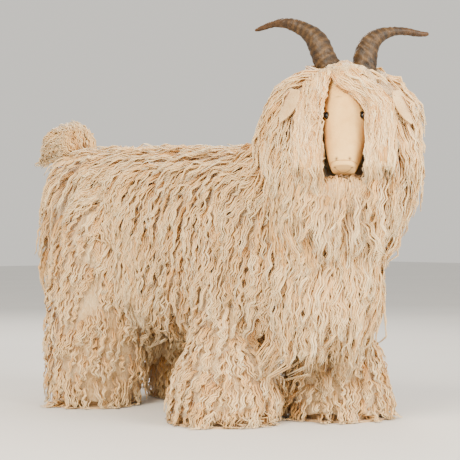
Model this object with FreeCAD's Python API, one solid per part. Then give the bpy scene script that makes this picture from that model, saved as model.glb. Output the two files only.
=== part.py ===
import FreeCAD, Part
import os
from math import cos, pi, radians, sin

# A life-size standing goat: a bolted timber frame, a carved head block, stuffed padding,
# long-wool pelts sewn over it, a leather face with bead eyes, real horns on wooden plugs,
# two hanging leather ears and a stub tail of folded pelt.
# Millimetres. The goat faces -Y, its right side is at -X, and it stands on z = 0.

V = FreeCAD.Vector
X, Y, Z = V(1, 0, 0), V(0, 1, 0), V(0, 0, 1)

# ---- Driving dimensions: body ----
back_height = 600          # top of the wool over the back
belly_height = 180         # lowest wool under the belly
torso_half_width = 172
rump_y = 540               # rear end of the body's wool
rump_rise = 14             # the back is this much higher at the rump than at the chest
chest_y = -395             # front end of the body's wool
torso_wool = 38            # pelt and wool together, over the body, neck and head
leg_wool = 24
seam_gap = 0.6             # air between a pelt and what it covers
rump_seam_y = 300
belly_seam_height = 250
hood_seam_height = 630

# ---- Stance: the left foreleg is a step ahead ----
front_foot_x = 128
rear_foot_x = 145
front_right_y = -190
front_left_y = -281
rear_y = 262
shoulder_x = 78            # where the middle of a foreleg's pelt meets the body
hip_x = 108                # and a hind leg's
shoulder_height = 420      # a foreleg's pelt ends this high, inside the body
haunch_height = 520        # and a hind leg's
front_foot_radius = 122
rear_foot_radius = 114

# ---- Timber frame ----
post_side = 45
post_x = 98
yoke_height = 45
yoke_top = 430             # the spine beam lies on the yokes
yoke_reach = 13.5          # each yoke ends this far past the middle of its post
spine_width = 45
spine_height = 70
spine_rear_y = 440
neck_post_side = 40
neck_post_x = 2.5
neck_post_y = -405
head_plate_height = 640
head_plate_thick = 15
head_plate_side = 84
plate_room_side = 90       # the notch in the head block for the plate and the neck post
plate_room_depth = 200
gusset_leg = 100
gusset_thick = 18
rail_thick = 20
rail_height = 40
rail_middle_height = 300
disc_thick = 12
sole_thick = 4
sole_margin = 20           # the sole leather reaches this far past the wooden disc
hem_height = 6             # the lowest wool on a leg

# ---- Fasteners ----
bolt_radius = 4
bolt_head_radius = 9
bolt_head_height = 4
nut_radius = 7.5
nut_height = 6.5
washer_radius = 11
washer_thick = 1.6
screw_radius = 2.5
screw_head_radius = 5
screw_head_height = 3
screw_length = 80
tack_count = 8
tack_head_radius = 4
tack_head_height = 1.2
tack_recess = 0.6
tack_shank_radius = 1
tack_length = 11
hole_clearance = 0.3

# ---- Head ----
head_x = 16
head_y = -420
head_turn = 47             # degrees to the goat's right
face_slope = 25.5          # degrees that the face leans forward from upright
skull_top = V(0, 25.5, 711.7)
face_front = 50            # from the skull's long axis to the front of the face
skull_length = 214
leather_thick = 3
leather_gap = 0.5
leather_top = 18           # the leather starts this far down the face, under the hood
nose_pad_length = 7
eye_spacing = 72.5
eye_along = 98             # down the face from the skull's top
eye_half_height = 8
eye_set_back = 10          # from the front of the face to the middle of the bead
eye_toe_in = 0.45          # its shank runs this much sideways for each unit back
eye_radius = 4.8
eye_shank_radius = 1.5
eye_shank_length = 16
horn_x = 36
horn_forward = 30
horn_seat_height = 712
horn_flatness = 1.12       # the horn is this much deeper than wide
horn_room = 4
horn_room_drop = 9         # the sawn end of a horn leans, so its room starts this much lower
horn_room_height = 124
horn_screw_length = 24
horn_screw_radius = 1.5
horn_screw_head_radius = 3
horn_screw_head_height = 1.5
horn_screw_rise = 16       # above the horn's seat
horn_screw_sink = 1.5      # into the back of the horn
plug_radius = 12
plug_tip_radius = 8
plug_depth = 38            # into the skull
plug_reach = 60            # into the horn
notch_rows = [(47, 722), (50, 640), (40, 510)]     # half width and height of the notch
notch_back = 40
notch_length = 260
ear_travel_room = 80
ear_width = 46
ear_thick = 4
ear_nest_margin = 3
ear_nest_gap = 0.6

# ---- Tail ----
tail_root_y = 512
tail_gap = 2               # between the tail's sewn root and the rump's wool
tail_wool = 20
tail_nest_margin = 4       # the rump's wool is parted this far round the tail's root
tail_nest_height = 60


# ---- Shape helpers ----

far = 1500                 # further from the origin than any part of the figure
reach = 100                # further from the skull's long axis than any part of the head

def closed_section(centre, across, up, half_across, half_up, power=2.5, points=16):
    """A closed smooth wire: a superellipse about centre, in the plane of across and up."""
    spots = []
    for i in range(points):
        a = 2 * pi * i / points
        c, s = cos(a), sin(a)
        reach = (abs(c) ** power + abs(s) ** power) ** (-1 / power)
        spots.append(centre + across * (half_across * reach * c) + up * (half_up * reach * s))
    curve = Part.BSplineCurve()
    curve.interpolate(Points=spots, PeriodicFlag=True)
    return Part.Wire(curve.toShape())


def loft(wires):
    """A smooth solid skin through the wires; degree 3 keeps it from bulging between them."""
    return Part.makeLoft(wires, True, False, False, 3)


def block(low, high):
    """An upright box between two corners."""
    size = high - low
    return Part.makeBox(size.x, size.y, size.z, low)


def above(height):
    """All the space above a height."""
    return block(V(-far, -far, height), V(far, far, far))


def below(height):
    return block(V(-far, -far, -far), V(far, far, height))


def behind(y):
    return block(V(-far, y, -far), V(far, far, far))


def prism(points, along):
    """A flat outline pushed straight along a vector."""
    return Part.Face(Part.makePolygon(points + points[:1])).extrude(along)


def cut(shape, *tools):
    for tool in tools:
        shape = shape.cut(tool)
    return shape


def solids_of(shape, least_volume=50):
    """The solids of a shape as one compound, without crumbs that a cut left."""
    return Part.makeCompound([s for s in shape.Solids if s.Volume > least_volume])


def rod(start, direction, length, radius):
    return Part.makeCylinder(radius, length, start, direction)


def screw(start, direction, length, radius, head_radius, head_height):
    """A round head at start and a shank along direction from under it."""
    head = rod(start, direction, head_height, head_radius)
    return head.fuse(rod(start, direction, head_height + length, radius)).removeSplitter()


parts = {}


# ---- Pelt shapes: each has an outer form, and an inner one for what it covers ----

torso_middle_y = (rump_y + chest_y) / 2
torso_middle_height = (back_height + belly_height) / 2


def end_rounding(share):
    """How high the body is, of its full height, this share of the way to one end."""
    return (1 - abs(share) ** 8) ** (1 / 5)


def back_top(y):
    """Height of the middle of the back at y."""
    share = (y - torso_middle_y) / ((rump_y - chest_y) / 2)
    rise = rump_rise / 2 * share
    half_height = (back_height - belly_height) / 2 + rise
    return torso_middle_height + rise + half_height * end_rounding(share)


def torso_form(inset):
    """The body's rounded block, with every side moved in by inset."""
    half_length = (rump_y - chest_y) / 2 - inset
    half_height = (back_height - belly_height) / 2 - inset
    half_width = torso_half_width - inset
    wires = []
    for share in (-0.99, -0.95, -0.85, -0.65, 0, 0.65, 0.85, 0.95, 0.99):
        wide = (1 - abs(share) ** 8) ** (1 / 3)
        rise = rump_rise / 2 * share
        centre = V(0, torso_middle_y + share * half_length, torso_middle_height + rise)
        high = (half_height + rise) * end_rounding(share)
        wires.append(closed_section(centre, X, Z, half_width * wide, high, 3))
    return loft(wires)


# The mane from the chest to the crown: height, middle x, front y, back y, half width.
mane_stations = [
    (200, 0, -422, -178, 122),
    (320, 4, -478, -192, 143),
    (450, 8, -534, -226, 154),
    (560, 10, -577, -235, 164),
    (600, 10, -577, -222, 165),
    (635, 10, -574, -242, 161),
    (672, 10, -563, -262, 150),
    (710, 10, -534, -291, 121),
    (740, 10, -497, -329, 84),
    (760, 10, -459, -367, 46),
]


def mane_form(inset):
    wires = []
    low, high = mane_stations[0][0], mane_stations[-1][0]
    for height, x, front, back, half_width in mane_stations:
        share = (height - low) / (high - low)
        half_length = (back - front) / 2
        across = max(half_width - inset, half_width * 0.3)
        along = max(half_length - inset, half_length * 0.3)
        centre = V(x, (front + back) / 2, low + inset + share * (high - low - 2 * inset))
        wires.append(closed_section(centre, X, Y, across, along, 2))
    return loft(wires)


# A leg's outline: share of the way from hem to hip, share of the foot's radius.
front_outline = [(0, 0.93), (0.1, 1.0), (0.22, 0.95), (0.4, 0.77), (0.65, 0.71), (1, 0.66)]
rear_outline = [(0, 0.88), (0.08, 1.0), (0.24, 1.1), (0.45, 1.12), (0.7, 1.01), (1, 0.45)]

legs = {
    "front_right": (V(-front_foot_x, front_right_y, 0), front_foot_radius, front_outline),
    "front_left": (V(front_foot_x, front_left_y, 0), front_foot_radius, front_outline),
    "rear_right": (V(-rear_foot_x, rear_y, 0), rear_foot_radius, rear_outline),
    "rear_left": (V(rear_foot_x, rear_y, 0), rear_foot_radius, rear_outline),
}
leg_tops = {
    name: V(shoulder_x, 0, shoulder_height) if "front" in name else V(hip_x, 0, haunch_height)
    for name in legs
}
leg_sides = {name: 1 if "left" in name else -1 for name in legs}


def leg_form(name, inset):
    foot, radius, outline = legs[name]
    side = leg_sides[name]
    wires = []
    for share, size in outline:
        centre = V(
            foot.x + (side * leg_tops[name].x - foot.x) * share,
            foot.y,
            hem_height + (leg_tops[name].z - hem_height) * share,
        )
        wires.append(closed_section(centre, X, Y, radius * size - inset, radius * size - inset, 2))
    return loft(wires)


disc_radii = {
    name: radius * outline[0][1] - leg_wool - seam_gap for name, (_, radius, outline) in legs.items()
}


# ---- Head frame: forward, the goat's left, and up ----

head_forward = V(-sin(radians(head_turn)), -cos(radians(head_turn)), 0)
head_left = V(-head_forward.y, head_forward.x, 0)
down_face = head_forward * sin(radians(face_slope)) - Z * cos(radians(face_slope))
out_of_face = head_forward * cos(radians(face_slope)) + Z * sin(radians(face_slope))


def head_point(left, forward, height):
    return V(head_x, head_y, 0) + head_left * left + head_forward * forward + Z * height


skull_origin = head_point(skull_top.x, skull_top.y, skull_top.z)

# Down the face: distance, half width, half depth. The front stays on one straight line.
skull_stations = [
    (0, 33, 38),
    (26, 40, 50),
    (100, 39.5, 47),
    (150, 36.5, 39),
    (188, 29, 29),
    (skull_length, 20, 20),
]


def skull_form(grow, start=0, end=0):
    """The head block's form with its sides moved out by grow; start and end move its caps."""
    wires = []
    last = len(skull_stations) - 1
    for i, (along, half_width, half_depth) in enumerate(skull_stations):
        shift = -start if i == 0 else end if i == last else 0
        centre = skull_origin + down_face * (along + shift) + out_of_face * (face_front - half_depth)
        wires.append(closed_section(
            centre, head_left, out_of_face, half_width + grow, half_depth + grow, 2.6))
    return loft(wires)


def head_slab(along_low, along_high, out_low, out_high, half_width):
    """A box in the face's own directions: down the face, out of it, and half across it."""
    corner = (skull_origin + down_face * along_low + out_of_face * out_low
              - head_left * half_width)
    outline = [
        corner,
        corner + down_face * (along_high - along_low),
        corner + down_face * (along_high - along_low) + out_of_face * (out_high - out_low),
        corner + out_of_face * (out_high - out_low),
    ]
    return prism(outline, head_left * (2 * half_width))


# ---- Timber frame ----

half_post = post_side / 2
yoke_bottom = yoke_top - yoke_height
spine_top = yoke_top + spine_height
disc_top = sole_thick + disc_thick
spine_front_y = neck_post_y - neck_post_side / 2
half_spine = spine_width / 2

posts = {}
for name, (foot, _, _) in legs.items():
    middle = leg_sides[name] * post_x
    posts[name] = block(
        V(middle - half_post, foot.y - half_post, disc_top),
        V(middle + half_post, foot.y + half_post, yoke_bottom),
    )

yoke_end = post_x + yoke_reach
yokes = {
    "front_right_yoke": block(
        V(-yoke_end, front_right_y - half_post, yoke_bottom),
        V(half_spine, front_right_y + half_post, yoke_top)),
    "front_left_yoke": block(
        V(-half_spine, front_left_y - half_post, yoke_bottom),
        V(yoke_end, front_left_y + half_post, yoke_top)),
    "rear_yoke": block(
        V(-yoke_end, rear_y - half_post, yoke_bottom),
        V(yoke_end, rear_y + half_post, yoke_top)),
}

spine = block(V(-half_spine, spine_front_y, yoke_top), V(half_spine, spine_rear_y, spine_top))

rail_x = post_x - half_post + rail_thick / 2
rails = {}
for side_name, side, front_y in (("right", -1, front_right_y), ("left", 1, front_left_y)):
    rails[side_name + "_side_rail"] = block(
        V(side * rail_x - rail_thick / 2, front_y + half_post, rail_middle_height - rail_height / 2),
        V(side * rail_x + rail_thick / 2, rear_y - half_post, rail_middle_height + rail_height / 2),
    )

half_neck = neck_post_side / 2
neck_post = block(
    V(neck_post_x - half_neck, neck_post_y - half_neck, spine_top),
    V(neck_post_x + half_neck, neck_post_y + half_neck, head_plate_height),
)
gusset_y = neck_post_y + half_neck
gusset = prism(
    [
        V(-gusset_thick / 2, gusset_y, spine_top),
        V(-gusset_thick / 2, gusset_y + gusset_leg, spine_top),
        V(-gusset_thick / 2, gusset_y, spine_top + gusset_leg),
    ],
    X * gusset_thick,
)
half_plate = head_plate_side / 2
head_plate = prism(
    [
        head_point(-half_plate, -half_plate, head_plate_height),
        head_point(half_plate, -half_plate, head_plate_height),
        head_point(half_plate, half_plate, head_plate_height),
        head_point(-half_plate, half_plate, head_plate_height),
    ],
    Z * head_plate_thick,
)

# ---- Fasteners, each group with the bigger shapes that make its holes ----

holes = []


def fasten(group, start, direction, length, radius, head_radius, head_height):
    """Adds one screw to a group, and the room for it to the list of holes."""
    group.append(screw(start, direction, length, radius, head_radius, head_height))
    room_start = start - direction * hole_clearance
    holes.append(screw(room_start, direction, length + 2 * hole_clearance,
                       radius + hole_clearance, head_radius + hole_clearance,
                       head_height + hole_clearance))


coach_bolts, coach_nuts = [], []
bolt_places = [
    V(0, front_right_y, 0), V(0, front_left_y, 0),
    V(-half_spine / 2, rear_y, 0), V(half_spine / 2, rear_y, 0),
]
bolt_length = spine_height + yoke_height + washer_thick + nut_height
for place in bolt_places:
    top = V(place.x, place.y, spine_top + bolt_head_height)
    fasten(coach_bolts, top, -Z, bolt_length, bolt_radius, bolt_head_radius, bolt_head_height)
    under = V(place.x, place.y, yoke_bottom)
    bore = rod(under, -Z, washer_thick + nut_height, bolt_radius + hole_clearance / 2)
    washer = rod(under, -Z, washer_thick, washer_radius)
    nut = prism(
        [
            under - Z * washer_thick + V(cos(pi * k / 3), sin(pi * k / 3), 0) * nut_radius
            for k in range(6)
        ],
        -Z * nut_height,
    )
    coach_nuts += [washer.cut(bore), nut.cut(bore)]
    holes.append(rod(under, -Z, washer_thick + nut_height + hole_clearance,
                     washer_radius + hole_clearance))

frame_screws = []
for name, (foot, _, _) in legs.items():
    fasten(frame_screws, V(leg_sides[name] * post_x, foot.y, yoke_top + screw_head_height), -Z,
           yoke_height + screw_length / 2, screw_radius, screw_head_radius, screw_head_height)
fasten(frame_screws, V(neck_post_x, neck_post_y, yoke_top + hole_clearance), Z,
       spine_height + screw_length / 2, screw_radius, screw_head_radius, screw_head_height)
for side, front_y in ((-1, front_right_y), (1, front_left_y)):
    for y, direction in ((front_y - half_post, Y), (rear_y + half_post, -Y)):
        start = V(side * rail_x, y, rail_middle_height) - direction * screw_head_height
        fasten(frame_screws, start, direction, post_side + screw_length / 2,
               screw_radius, screw_head_radius, screw_head_height)

foot_screws = []
for name, (foot, _, _) in legs.items():
    for offset in (-half_post / 2, half_post / 2):
        start = V(leg_sides[name] * post_x + offset, foot.y, sole_thick + hole_clearance)
        fasten(foot_screws, start, Z, screw_length, screw_radius, screw_head_radius,
               screw_head_height)

head_screws = []
for left in (-half_plate / 2, half_plate / 2):
    fasten(head_screws, head_point(left, half_plate / 2, head_plate_height - screw_head_height), Z,
           head_plate_thick + screw_length / 4, screw_radius, screw_head_radius, screw_head_height)

sole_tacks, tack_holes = [], []
for name, (foot, _, _) in legs.items():
    ring = disc_radii[name] - 2 * tack_head_radius
    for k in range(tack_count):
        turn = 2 * pi * (k + 0.5) / tack_count
        start = V(foot.x + ring * cos(turn), foot.y + ring * sin(turn), tack_recess)
        sole_tacks.append(screw(start, Z, tack_length, tack_shank_radius,
                                tack_head_radius, tack_head_height))
        tack_holes.append(rod(V(start.x, start.y, 0), Z, tack_recess + tack_head_height
                              + hole_clearance, tack_head_radius + hole_clearance))
        tack_holes.append(rod(V(start.x, start.y, 0), Z, disc_top - 1,
                              tack_shank_radius + hole_clearance))

# ---- Head block, plugs, horns, eyes and leather ----

head_sides = {"right": -1, "left": 1}
plugs, plug_rooms = {}, {}
for side_name, side in head_sides.items():
    start = head_point(side * horn_x, horn_forward, horn_seat_height - plug_depth)
    length = plug_depth + plug_reach
    plugs[side_name] = Part.makeCone(plug_radius, plug_tip_radius, length, start, Z)
    plug_rooms[side_name] = Part.makeCone(
        plug_radius + hole_clearance, plug_tip_radius + hole_clearance,
        length + 2 * hole_clearance, start - Z * hole_clearance, Z)

# Each horn's middle line: out to its side, forward, height, and its radius there.
horn_lines = {
    "right": [
        (horn_x, horn_forward, horn_seat_height, 27), (38, 29, 750, 25.8), (52, 26, 781, 24),
        (66, 21, 807, 21), (89, 14, 826, 15.6), (115, 6, 838, 12.5), (141, -4, 842, 8.7),
        (168, -16, 838, 6.3), (194, -28, 831, 3.2),
    ],
    "left": [
        (horn_x, horn_forward, horn_seat_height, 27), (38, 29, 753, 25), (43, 26, 780, 23),
        (55, 21, 801, 19), (73, 14, 813, 13.8), (92, 7, 819, 10.3), (111, -1, 821, 8.3),
        (136, -13, 819, 7.3), (168, -28, 818, 4),
    ],
}
horn_base_radius = horn_lines["right"][0][3]
horn_base_depth = horn_base_radius * horn_flatness


def horn_form(side_name):
    """A horn as rings square to its middle line, thinning towards the tip."""
    side = head_sides[side_name]
    spots = [head_point(side * out, forward, up) for out, forward, up, _ in horn_lines[side_name]]
    line = Part.BSplineCurve()
    line.interpolate(spots)
    wires = []
    for spot, (_, _, _, radius) in zip(spots, horn_lines[side_name]):
        tangent = V(line.tangent(line.parameter(spot))[0])
        deep = (head_forward - tangent * head_forward.dot(tangent)).normalize()
        across = tangent.cross(deep)
        wires.append(closed_section(spot, across, deep, radius, radius * horn_flatness, 2, 12))
    return loft(wires)


horns = {name: cut(horn_form(name), plug_rooms[name]) for name in horn_lines}
horn_rooms = [
    rod(head_point(side * horn_x, horn_forward, horn_seat_height - horn_room_drop), Z,
        horn_room_height, horn_base_depth + horn_room)
    for side in head_sides.values()
]

horn_screws = []
for side in head_sides.values():
    start = head_point(side * horn_x, horn_forward - horn_base_depth + horn_screw_sink,
                       horn_seat_height + horn_screw_rise)
    fasten(horn_screws, start, head_forward, horn_screw_length, horn_screw_radius,
           horn_screw_head_radius, horn_screw_head_height)

plate_room_front = half_plate + hole_clearance
plate_room_foot = head_plate_height - plate_room_depth
plate_room = prism(
    [
        head_point(-plate_room_side, -plate_room_side, plate_room_foot),
        head_point(plate_room_side, -plate_room_side, plate_room_foot),
        head_point(plate_room_side, plate_room_front, plate_room_foot),
        head_point(-plate_room_side, plate_room_front, plate_room_foot),
    ],
    Z * (plate_room_depth + head_plate_thick),
)

eyes, eye_rooms = {}, []
for side_name, side in head_sides.items():
    centre = (skull_origin + down_face * eye_along + out_of_face * (face_front - eye_set_back)
              + head_left * (side * eye_spacing / 2))
    inward = (-out_of_face - head_left * (side * eye_toe_in)).normalize()
    bead = {}
    for grow in (0, hole_clearance):
        ball = Part.makeSphere(1)
        stretch = FreeCAD.Matrix()
        stretch.scale(eye_radius + grow, eye_radius + grow, eye_half_height + grow)
        ball = ball.transformGeometry(stretch)
        ball.Placement = FreeCAD.Placement(centre, FreeCAD.Rotation(Z, -down_face))
        shank = rod(centre, inward, eye_shank_length + grow, eye_shank_radius + grow)
        bead[grow] = ball.fuse(shank)
    eyes[side_name] = bead[0]
    eye_rooms.append(bead[hole_clearance])

head_block = cut(skull_form(0), plate_room, *plug_rooms.values(), *eye_rooms,
                 *horn_rooms)
leather_out = leather_gap + leather_thick
face_sleeve = skull_form(leather_out, 0, leather_out)
face_hollow = skull_form(leather_gap, leather_out, leather_gap)
front_of_face = head_slab(leather_top, skull_length + reach, 0, face_front + reach, reach)
sleeve = cut(face_sleeve, face_hollow, *eye_rooms).common(front_of_face)
nose_line = skull_length - nose_pad_length
above_nose = head_slab(0, nose_line, -reach, reach, reach)
nose_end = head_slab(nose_line + leather_gap, skull_length + reach, -reach, reach, reach)
face_leather = cut(sleeve.common(above_nose), *horn_rooms, *plug_rooms.values())
nose_pad = sleeve.common(nose_end)

# The face shows through a notch in the wool that is open to the front.
notch_outline = [
    head_point(side * half_width, notch_back, height)
    for side, rows in ((1, notch_rows), (-1, notch_rows[::-1]))
    for half_width, height in rows
]
face_notch = prism(notch_outline, head_forward * notch_length)
skull_room = skull_form(leather_out + leather_gap + seam_gap, 1, leather_out + 2 * seam_gap)

# ---- Ears: a leaf of leather that hangs from its sewn root, in a nest in the wool ----

# Root and tip of each ear, in the head's own frame.
ear_ends = {
    "right": (head_point(-98, 104, 692), head_point(-127, 122, 622)),
    "left": (head_point(101, 82, 690), head_point(131, 92, 620)),
}


def ear_leaf(side_name, margin, low, high):
    """The ear's leaf outline grown by margin, from low to high above its inner face."""
    root, tip = ear_ends[side_name]
    hang = tip - root
    length = hang.Length
    hang.normalize()
    away = V(root.x - head_x, root.y - head_y, 0).normalize() + Z * 0.45
    outward = (away - hang * away.dot(hang)).normalize()
    width = outward.cross(hang)
    half = ear_width / 2
    start = root + outward * low - hang * margin
    outline = [
        start - width * (half * 0.55 + margin),
        start + hang * (length * 0.35) - width * (half + margin),
        start + hang * (length * 0.75) - width * (half * 0.62 + margin),
        start + hang * (length + 2 * margin),
        start + hang * (length * 0.75) + width * (half * 0.62 + margin),
        start + hang * (length * 0.35) + width * (half + margin),
        start + width * (half * 0.55 + margin),
    ]
    near_edge, far_edge = Part.BSplineCurve(), Part.BSplineCurve()
    near_edge.interpolate(outline[:4])
    far_edge.interpolate(outline[3:])
    root_edge = Part.LineSegment(outline[-1], outline[0])
    edge = Part.Wire([near_edge.toShape(), far_edge.toShape(), root_edge.toShape()])
    return Part.Face(edge).extrude(outward * (high - low))


ears = {name: ear_leaf(name, 0, 0, ear_thick) for name in ear_ends}
ear_rooms = [ear_leaf(name, ear_nest_margin, -ear_nest_gap, ear_travel_room) for name in ear_ends]

# ---- Padding and pelts ----

torso_outer = torso_form(0)
torso_outer_room = torso_form(-seam_gap)
torso_inner = torso_form(torso_wool)
torso_inner_room = torso_form(torso_wool - seam_gap)
mane_outer = mane_form(0)
mane_outer_room = mane_form(-seam_gap)
mane_inner = mane_form(torso_wool)
mane_inner_room = mane_form(torso_wool - seam_gap)
leg_outer = {name: leg_form(name, 0) for name in legs}
leg_inner = {name: leg_form(name, leg_wool) for name in legs}
leg_inner_room = {name: leg_form(name, leg_wool - seam_gap) for name in legs}

timbers = [spine, neck_post, gusset, head_plate, *posts.values(), *yokes.values(),
           *rails.values()]

hood_space = above(hood_seam_height)
neck_space = below(hood_seam_height)
parts["body_padding"] = cut(torso_inner, *timbers, *holes)
parts["neck_padding"] = cut(
    mane_inner.common(neck_space), face_notch, skull_room, torso_inner_room, *timbers, *holes)
parts["crown_padding"] = cut(
    mane_inner.common(hood_space), face_notch, skull_room, torso_inner_room, *horn_rooms,
    *plug_rooms.values(), *timbers, *holes)
parts["neck_pelt"] = cut(
    mane_outer.common(neck_space), mane_inner_room, face_notch, skull_room, torso_outer_room,
    leg_inner_room["front_right"], leg_inner_room["front_left"], *ear_rooms)
parts["hood_pelt"] = cut(
    mane_outer.common(hood_space), mane_inner_room, face_notch, skull_room, torso_outer_room,
    *horn_rooms, *plug_rooms.values(), *ear_rooms)

body_spaces = {
    "rump_pelt": behind(rump_seam_y),
    "belly_pelt": below(belly_seam_height).cut(behind(rump_seam_y)),
    "saddle_pelt": above(belly_seam_height).cut(behind(rump_seam_y)),
}
for name, space in body_spaces.items():
    parts[name] = cut(torso_outer.common(space), *leg_inner_room.values(), torso_inner_room,
                      mane_inner_room)

for name, (foot, _, _) in legs.items():
    parts[name + "_leg_padding"] = cut(
        leg_inner[name].common(above(disc_top)),
        torso_inner_room, mane_inner_room, posts[name], *yokes.values(), *holes)
    parts[name + "_leg_pelt"] = cut(
        leg_outer[name], leg_inner_room[name], torso_outer_room, mane_outer_room)
    disc = rod(V(foot.x, foot.y, sole_thick), Z, disc_thick, disc_radii[name])
    sole = rod(V(foot.x, foot.y, 0), Z, sole_thick, disc_radii[name] + sole_margin)
    parts[name + "_foot_disc"] = cut(disc, *holes, *tack_holes)
    parts[name + "_sole"] = cut(sole, *tack_holes)
    parts[name + "_leg_post"] = cut(posts[name], *holes)

for name, timber in {**yokes, **rails}.items():
    parts[name] = cut(timber, *holes)
parts["spine_beam"] = cut(spine, *holes)
parts["neck_post"] = cut(neck_post, *holes)
parts["neck_gusset"] = cut(gusset, *holes)
parts["head_plate"] = cut(head_plate, *holes)
parts["coach_bolts"] = Part.makeCompound(coach_bolts)
parts["coach_nuts"] = Part.makeCompound(coach_nuts)
parts["frame_screws"] = Part.makeCompound(frame_screws)
parts["foot_screws"] = Part.makeCompound(foot_screws)
parts["head_screws"] = Part.makeCompound(head_screws)
parts["horn_screws"] = Part.makeCompound(horn_screws)
parts["sole_tacks"] = Part.makeCompound(sole_tacks)

parts["head_block"] = cut(head_block, *holes)
parts["face_leather"] = face_leather
parts["nose_pad"] = nose_pad
for side_name in ("right", "left"):
    parts[side_name + "_horn"] = cut(horns[side_name], *holes)
    parts[side_name + "_horn_plug"] = cut(plugs[side_name], *holes)
    parts[side_name + "_eye"] = eyes[side_name]
    parts[side_name + "_ear"] = ears[side_name]

# ---- Tail: a folded pelt round a wad of stuffing, leaning back from its root ----

# Along the tail: distance behind the root, height above it, lean from upright in degrees, radius.
tail_stations = [
    (0, 0, 25, 34),
    (22, 34, 38, 41),
    (62, 57, 70, 42),
    (112, 57, 102, 36),
    (156, 38, 124, 14),
]
tail_root = V(0, tail_root_y, back_top(tail_root_y) + tail_gap)


def tail_form(inset, start_lift):
    wires = []
    for i, (back, up, lean, radius) in enumerate(tail_stations):
        tip = i == len(tail_stations) - 1
        small = max(radius - inset, radius / 2) if tip else radius - inset
        tilt = radians(lean)
        along = Y * sin(tilt) + Z * cos(tilt)
        lift = along * start_lift if i == 0 else V()
        centre = tail_root + Y * back + Z * up + lift
        wires.append(closed_section(centre, X, X.cross(along), small, small, 2, 12))
    return loft(wires)


tail_lean = radians(tail_stations[0][2])
tail_axis = Y * sin(tail_lean) + Z * cos(tail_lean)
tail_nest = rod(tail_root - tail_axis * tail_gap, tail_axis, tail_nest_height,
                tail_stations[0][3] + tail_nest_margin)
parts["rump_pelt"] = cut(parts["rump_pelt"], tail_nest)
parts["tail_pelt"] = cut(tail_form(0, 0), tail_form(tail_wool - seam_gap, -1))
parts["tail_wad"] = tail_form(tail_wool, 0.5)

# ---- Set the origin under the middle of the whole figure, and write one file each ----

parts = {name: solids_of(shape) if name != "sole_tacks" else shape for name, shape in parts.items()}
whole = FreeCAD.BoundBox()
for shape in parts.values():
    whole.add(shape.optimalBoundingBox(False))
shift = V(-whole.Center.x, -whole.Center.y, -whole.ZMin)
os.makedirs("parts", exist_ok=True)
for name, shape in parts.items():
    shape.translate(shift)
    shape.exportStep("parts/" + name + ".step")
print("nodes", len(parts), "shift", [round(c, 3) for c in shift],
      "size", [round(c, 1) for c in (whole.XLength, whole.YLength, whole.ZLength)])
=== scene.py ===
import math
import bmesh
import bpy
import numpy as np
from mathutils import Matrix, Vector
from mathutils.bvhtree import BVHTree


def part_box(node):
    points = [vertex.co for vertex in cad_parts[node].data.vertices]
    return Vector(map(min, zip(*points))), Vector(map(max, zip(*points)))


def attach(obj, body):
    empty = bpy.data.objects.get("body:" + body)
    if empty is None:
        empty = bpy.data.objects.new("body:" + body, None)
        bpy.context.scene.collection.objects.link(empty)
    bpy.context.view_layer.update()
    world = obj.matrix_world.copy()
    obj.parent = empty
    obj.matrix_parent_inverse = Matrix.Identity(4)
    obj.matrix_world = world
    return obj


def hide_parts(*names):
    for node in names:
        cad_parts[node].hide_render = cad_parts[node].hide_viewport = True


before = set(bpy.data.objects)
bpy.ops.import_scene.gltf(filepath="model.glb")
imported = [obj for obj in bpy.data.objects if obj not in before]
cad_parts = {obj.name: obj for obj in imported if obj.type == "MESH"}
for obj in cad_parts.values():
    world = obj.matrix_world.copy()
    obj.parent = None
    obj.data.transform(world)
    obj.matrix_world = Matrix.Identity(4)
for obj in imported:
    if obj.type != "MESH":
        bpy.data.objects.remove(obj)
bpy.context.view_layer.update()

# ---------------------------------------------------------------------------------------
# Timber frame: planed pine posts, yokes, spine and neck post, birch plywood discs and
# plates. It is glued and screwed together, and shut up inside the stuffing.


def linear(code):
    """An sRGB hex colour as linear red, green, blue and alpha."""
    out = []
    for i in (1, 3, 5):
        c = int(code[i:i + 2], 16) / 255
        out.append(c / 12.92 if c <= 0.04045 else ((c + 0.055) / 1.055) ** 2.4)
    return (*out, 1.0)


def new_material(name, **shader):
    """A node material with its Principled shader's own sockets set."""
    made = bpy.data.materials.new(name)
    made.use_nodes = True
    surface = made.node_tree.nodes["Principled BSDF"]
    for socket, value in shader.items():
        surface.inputs[socket.replace("_", " ")].default_value = value
    return made


def node(made, kind, links=None, settings=None, stops=None, **values):
    """Adds a node: settings are its properties, values its inputs, links feed its inputs,
    and stops are the places and hex colours of a colour ramp."""
    n = made.node_tree.nodes.new("ShaderNode" + kind)
    for key, value in (settings or {}).items():
        setattr(n, key, value)
    for key, value in values.items():
        n.inputs[key.replace("_", " ")].default_value = value
    for key, source in (links or {}).items():
        made.node_tree.links.new(source, n.inputs[key])
    if stops:
        colours = n.color_ramp.elements
        while len(colours) < len(stops):
            colours.new(0.5)
        for colour, (place, code) in zip(colours, stops):
            colour.position = place
            colour.color = linear(code)
    return n


def feed(made, socket, source):
    """Links a node's output to a socket of the material's own shader."""
    made.node_tree.links.new(source, made.node_tree.nodes["Principled BSDF"].inputs[socket])


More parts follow.
